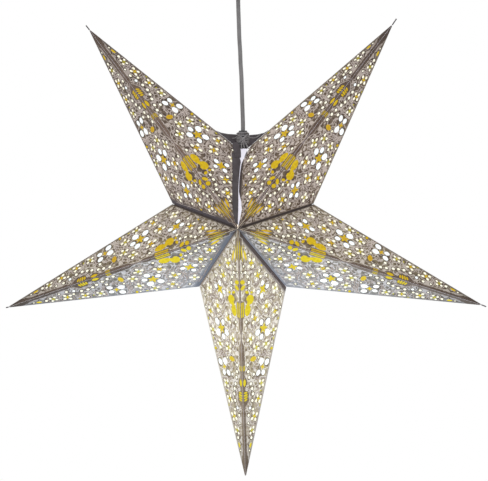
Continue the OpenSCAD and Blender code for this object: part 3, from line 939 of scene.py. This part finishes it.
def make_panels():
    pattern = design()
    flats = {}
    for kind in OUTLINE:
        flats[kind] = flat_panel(kind, pattern)
    flange = glue_flange()
    for arm, side, turn, hand, tone in PANELS:
        for face, word in ((1, "front"), (-1, "back")):
            kind = "plain"
            if side == "inner":
                kind = "back free" if face < 0 else ("left free" if "left" in arm else "right free")
            stem = f"{arm}_{word}_{side}"
            m = placing(turn, hand, face)
            card, lining, thread = flats[kind]
            for source, what, node in ((card, "punched_card", "_card"), (lining, "lit_lining", "_lining"),
                                       (thread, "raised_print", None)):
                o = copy_of(source, f"{stem}_{what}")
                if what == "punched_card":
                    if hand > 0 and kind == "plain":
                        join(o, copy_of(flange, "flange"))
                    slots(o, [CARD[tone]])
                if what == "lit_lining" and kind == "right free":
                    tongue = sheet_of("tongue", [[(-3, -10.2, 81), (-1, -10.2, 81), (1.4, -10, 82)],
                                                 [(-3.2, -8.6, 88), (0, -8.8, 88), (2.4, -8.4, 88)],
                                                 [(-3.4, -8.2, 92), (0, -8.4, 92), (3.8, -7.8, 92)],
                                                 [(-3.2, -8.2, 98), (1, -8.4, 98.4), (6.6, -7.2, 98)]], 0.15)
                    slots(tongue, [LINING])
                    tongue.data.transform(m.inverted())
                    join(o, tongue)
                # Lower panels take the brighter copy of the window papers, painted light.
                if what == "lit_lining" and tone in ("cool", "slate", "pale", "dusk"):
                    for colour, mat in PANES["upper"].items():
                        o.data.materials[o.data.materials.find(mat.name)] = PANES["lower"][colour]
                settle(o, m, LEAN[arm])
                if what == "punched_card" and face > 0 and hand > 0 and arm in ROLLED:
                    join(o, rolled_tip(arm, turn))
                crease(o, arm, turn, hand, stem + "_panel")
                if node:
                    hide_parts(stem + node)
    for trio in list(flats.values()) + [(flange,)]:
        pick(*trio)
        bpy.ops.object.delete()


make_panels()


# ---------------------------------------------------------------- strip, tabs and ties
def make_ties():
    strip = flat("strip_over_left_free_edge", [[
        on_seam(6, 0.7), on_seam(8, 4.5), on_seam(30, 9), on_seam(46, 10.4), on_seam(99, 13),
        on_seam(SEAM - 8, 15.4), on_seam(SEAM - 5, 10), on_seam(SEAM - 9, 5.4), on_seam(116, 2.7),
        on_seam(99, 3.1), on_seam(83, 3.4), on_seam(64, 3.2), on_seam(46, 2.1), on_seam(30, 1.5),
        on_seam(14, 1.1)]], -1.0, -0.62)
    map_flat(strip)
    settle(strip, placing(-36, 1, 1), LEAN["upper_left_arm"])
    # At the top the strip turns up in front of the neck.
    rows = []
    for z, xs in ((87, (-9, -5, -1.9)), (92, (-10, -5.5, -1.9)), (97, (-12, -7, -2.2)),
                  (102, (-12.4, -8, -3.6)), (106, (-12.4, -8.6, -5.4))):
        rows.append([(x, min(-95 + 0.8945 * x + 1.0215 * z - 1.5, -9), z) for x in xs])
    flap = sheet_of("flap", rows, 0.4)
    join(strip, flap)
    # The strip is painted dark for the shade it lies in.
    finish_piece(strip, "upper_left_arm_front_inner_panel", SHADED_CARD, "left_seam_strip")
    for hand, side in ((1, "right"), (-1, "left")):
        high = 116 if hand > 0 else 117
        foot = [(x, 93 + 0.876 * x + 0.75) for x in (32.4, 26, 18, 9.5)]
        low = [(x, 0, z) for x, z in foot] + [(7.8, -1.4, 100.4), (6.2, -4.9, 100.4)]
        top = [(32.4, 0, 122.2), (26, 0, high + 2.2), (18, 0, high + 0.4), (9.5, 0, high - 0.4),
               (7.8, -1.4, high - 0.6), (6.2, -4.9, high - 0.8)]
        middle = [[a + (b - a) / 2 for a, b in zip(q, w)] for q, w in zip(low, top)]
        k = 0.05 if hand < 0 else 0.012
        tab = sheet_of(side + "_tab", [[(hand * x * (1 + k), y, z - 0.7 * k * x) for x, y, z in row]
                                       for row in (low, middle, top)], 0.3)
        finish_piece(tab, f"upper_{side}_arm_front_inner_panel", SHADED_CARD, side + "_tie_tab")
    turns, around = 9, 24
    steps = turns * around
    coil = []
    for k in range(steps + 1):
        a = 2 * math.pi * k / around
        free = math.sin(a) ** 2
        r = 6.45 + 1.5 * math.sin(math.pi * k / steps) ** 0.7 + 0.4 * free * math.sin(2.3 * a)
        z = 102.6 + 15.2 * k / steps + 0.6 * free * math.sin(1.37 * a)
        coil.append(STAR + Vector((r * math.cos(a), r * math.sin(a), z)) * MM)
    knot = [tube("string_round_the_neck", coil, 0.0018, 8)]
    loops = [
        ([(-4, -6.4, 113), (-1, -8.6, 112), (2.6, -9.6, 110.4), (2.4, -9.4, 108), (-0.6, -8.8, 108.6),
          (-1.4, -9.2, 111), (1, -10, 111.6), (3.4, -8.4, 112.6), (5, -5.6, 114)], 0.002),
        ([(-5.6, -5.6, 106), (-2, -8.8, 108), (0.6, -10.4, 110), (3, -9.2, 113), (5.6, -6.4, 116)], 0.0018),
        ([(-6.4, -5, 116), (-3, -8.4, 114), (0.4, -10.4, 110.6), (2.6, -9.8, 107), (4.6, -7.4, 104)], 0.0018),
        ([(-7.4, -3.4, 117), (-4, -8, 118.4), (0.6, -8.8, 118), (4.4, -7.6, 118.6), (7.4, -3, 117)], 0.0018),
        ([(1, -9.4, 109), (-0.6, -10.2, 105), (-1.4, -9.8, 101), (-0.4, -10, 97.6)], 0.0016),
        ([(1.6, -9.4, 109), (4, -10, 105), (5.6, -9.2, 101), (7.6, -8.4, 98.4)], 0.0016),
        ([(0.6, -9.6, 110), (1.6, -10.4, 106), (1.6, -10, 102.4), (2.6, -9.8, 99.4)], 0.0014),
    ]
    for knots, thick in loops:
        knot.append(tube("loop", smooth_route([STAR + Vector(q) * MM for q in knots]), thick, 8))
    finish_piece(join(*knot), "lampholder", STRING, "tie_knot")
    left = [(-7, -5, 112), (-9, -4, 112), (-11, -2, 111.4), (-13, -1, 111.2), (-13, 0.9, 111.2)]
    right = [(7, -6, 114), (10, -6, 112), (14, -4, 111.6), (18, -2, 113), (22, -1, 116)]
    for side, route in (("left", left), ("right", right)):
        s = tube(side + "_string_to_the_tab", smooth_route([STAR + Vector(q) * MM for q in route]), 0.0012, 8)
        finish_piece(s, f"upper_{side}_arm_front_inner_panel", STRING, side + "_tie_string")


make_ties()
finish_piece(flex, "flex", SHEATH, "flex")


# ---------------------------------------------------------------- turned parts
def turned(name, profile, at=(0, 0, 0), steps=48):
    """Closed profile of (radius, height) in mm turned round the vertical axis."""
    mesh = bpy.data.meshes.new(name)
    pts = [((x + at[0]) * MM, at[1] * MM, (z + at[2]) * MM) for x, z in profile]
    n = len(pts)
    axis_open = profile[0][0] == 0 and profile[-1][0] == 0
    edges = [(i, i + 1) for i in range(n - 1)] + ([] if axis_open else [(n - 1, 0)])
    mesh.from_pydata(pts, edges, [])
    o = add_object(name, mesh)
    edit_all()
    centre = (at[0] * MM, at[1] * MM, at[2] * MM)
    bpy.ops.mesh.spin(steps=steps, angle=2 * math.pi, center=centre, axis=(0, 0, 1))
    bpy.ops.mesh.select_all(action="SELECT")
    bpy.ops.mesh.remove_doubles(threshold=1e-6)
    bpy.ops.mesh.normals_make_consistent(inside=False)
    bpy.ops.object.mode_set(mode="OBJECT")
    bpy.ops.object.shade_smooth_by_angle(angle=math.radians(35))
    return o


def lamp_part(name, node, profile, body="lampholder", material=BLACK):
    """Round part of the lampholder or bulb, its profile in mm from the star's middle."""
    finish_piece(turned(name, profile, (STAR.x / MM, 0, STAR.z / MM)), body, material, node)


def make_lamp():
    lamp_part("moulded_neck", "holder_neck", [
        (0, 79), (6.5, 79), (6.5, 81.5), (5.5, 81.5), (5.5, 119.6), (5.2, 120.5), (4.6, 121), (3.1, 121),
        (3.1, 109), (0, 109)])
    lamp_part("moulded_cap", "holder_cap", [
        (5.7, 84), (5.7, 87), (7.0, 87), (7.6, 86.4), (13.6, 75), (14, 73.6), (14, 66),
        (12.5, 66), (12.5, 73)])
    ridged = [(10.9, 70), (12.4, 70), (12.4, 66), (13.7, 65.9), (14, 65.4)]
    for k in range(9):
        z = 62 - 3 * k
        ridged += [(14, z), (13.6, z - 0.7), (13.6, z - 1.4), (14, z - 2.1)]
    ridged += [(14, 24.5), (13.6, 24), (12.7, 24), (12.5, 24.3), (12.5, 64), (10.9, 66)]
    lamp_part("ridged_shell", "holder_shell", ridged)
    globe = []
    for k in range(19):
        a = math.radians(-90 + 7.6 * k)
        globe.append((22.5 * math.cos(a), -8 + 22.5 * math.sin(a)))
    globe[0] = (0, -30.5)
    globe += [(14, 9.8), (11, 15.4), (9, 20), (8, 24), (7.6, 25.6), (0, 25.6)]
    lamp_part("frosted_globe", "bulb_globe", globe, "bulb", BULB)
    thread = [(0, 52.5), (2.2, 52.5), (2.4, 50.6), (5, 50), (6.2, 47.6)]
    for k in range(7):
        z = 46.6 - 2.8 * k
        thread += [(6.4, z), (6.95, z - 0.9), (6.4, z - 1.9)]
    thread += [(6.4, 26.4), (6.9, 25.8), (0, 25.8)]
    lamp_part("threaded_cap", "bulb_cap", thread, "bulb", NICKEL)
    grip = []
    for k in range(96):
        a = 2 * math.pi * k / 96
        r = 18 - 0.5 * (1 + math.cos(24 * a)) * (k % 4 != 0)
        grip.append((r * math.cos(a), r * math.sin(a)))
    ring = flat("knurled_ring", [grip, oval(0, 0, 28.3, 28.3, n=64)], 36, 42)
    settle(ring, Matrix.Translation(STAR))
    finish_piece(ring, "lampholder", BLACK, "shade_ring")
    insert = [(7.75, 26), (12.3, 26), (12.4, 26.2), (12.4, 61.6), (12, 62), (0, 62), (0, 57), (7.75, 57)]
    lamp_part("ceramic_insert", "socket_insert", insert, material=CERAMIC)
    shell = [(7.25, 29), (7.7, 29)]
    for k in range(7):
        z = 31 + 3 * k
        shell += [(7.7, z), (7.55, z + 1), (7.7, z + 2)]
    shell += [(7.7, 53), (7.25, 53)]
    lamp_part("brass_thread", "thread_shell", shell, material=BRASS)


CERAMIC = plain_material("glazed ceramic", (232, 230, 220), (220, 216, 204), 0.3, scale=30, coat=0.3)
BRASS = plain_material("brass", (206, 176, 104), (184, 150, 82), 0.3, 0.9, 90)
BULB = glow_material("lit frosted glass", (255, 246, 226), (255, 238, 206), 1.6, 5)
make_lamp()


def make_canopy():
    cup = [(5.3, -28), (31, -28), (33.6, -27.5), (36, -26), (38.2, -23), (39.6, -19.5), (40, -16), (40, -0.4),
           (39.6, 0), (38.9, 0), (38.5, -0.4), (38.5, -16), (37.6, -20), (35.6, -23.8), (33, -26),
           (31, -26.5), (5.3, -26.5)]
    finish_piece(turned("rounded_cup", cup, steps=72), "canopy", WHITE_PLASTIC,
                 "canopy_cup")
    grip = [(3.3, -20), (4.6, -20), (5, -20.4), (5, -28.1), (8.6, -28.1), (9, -28.5), (9, -29.8),
            (8.8, -30.2), (7.8, -33.6), (7.4, -34), (6.4, -34), (6.1, -33.8), (3.3, -27.5)]
    finish_piece(turned("bell_mouth", grip), "canopy", BLACK, "flex_grip")
    strap = flat("ceiling_strap", [bar(0, 0, 74.2, 18), oval(0, 0, 12, 12, n=24), oval(25, 0, 4.5, 4.5, n=16),
                                   oval(-25, 0, 4.5, 4.5, n=16)], -2, 0)
    map_flat(strap)
    finish_piece(strap, "canopy", STEEL, "mounting_strap")
    nut = flat("hexagon_nut", [oval(0, 0, 16, 16, n=6), oval(0, 0, 10.3, 10.3, n=32)], -26.4, -22.4)
    finish_piece(nut, "canopy", BLACK, "grip_nut")


make_canopy()


# ---------------------------------------------------------------- stage and light
def make_stage():
    clear_selection()
    bpy.ops.mesh.primitive_plane_add(size=8, location=(0, 0, -1.5))
    floor = bpy.context.active_object
    floor.name = "pale_floor"
    slots(floor, [plain_material("pale floor", (245, 245, 245), (250, 250, 250), 0.9, scale=2)])
    world = bpy.context.scene.world or bpy.data.worlds.new("studio")
    bpy.context.scene.world = world
    world.use_nodes = True
    world.node_tree.nodes["Background"].inputs[0].default_value = (1, 1, 1, 1)
    world.node_tree.nodes["Background"].inputs[1].default_value = 1.0
    for name, place, size, power, colour in (
            ("key", (-1.2, -1.6, 0.9), 1.6, 4, (1, 0.97, 0.93)),
            ("low", (0.4, -1.4, -1.3), 1.2, 3, (0.86, 0.92, 1))):
        bpy.ops.object.light_add(type="AREA", location=place)
        lamp = bpy.context.active_object
        lamp.name = name
        lamp.data.size = size
        lamp.data.energy = power
        lamp.data.color = colour
        lamp.rotation_euler = (STAR - Vector(place)).to_track_quat("-Z", "Y").to_euler()
    bpy.context.scene.view_settings.view_transform = "Standard"


make_stage()
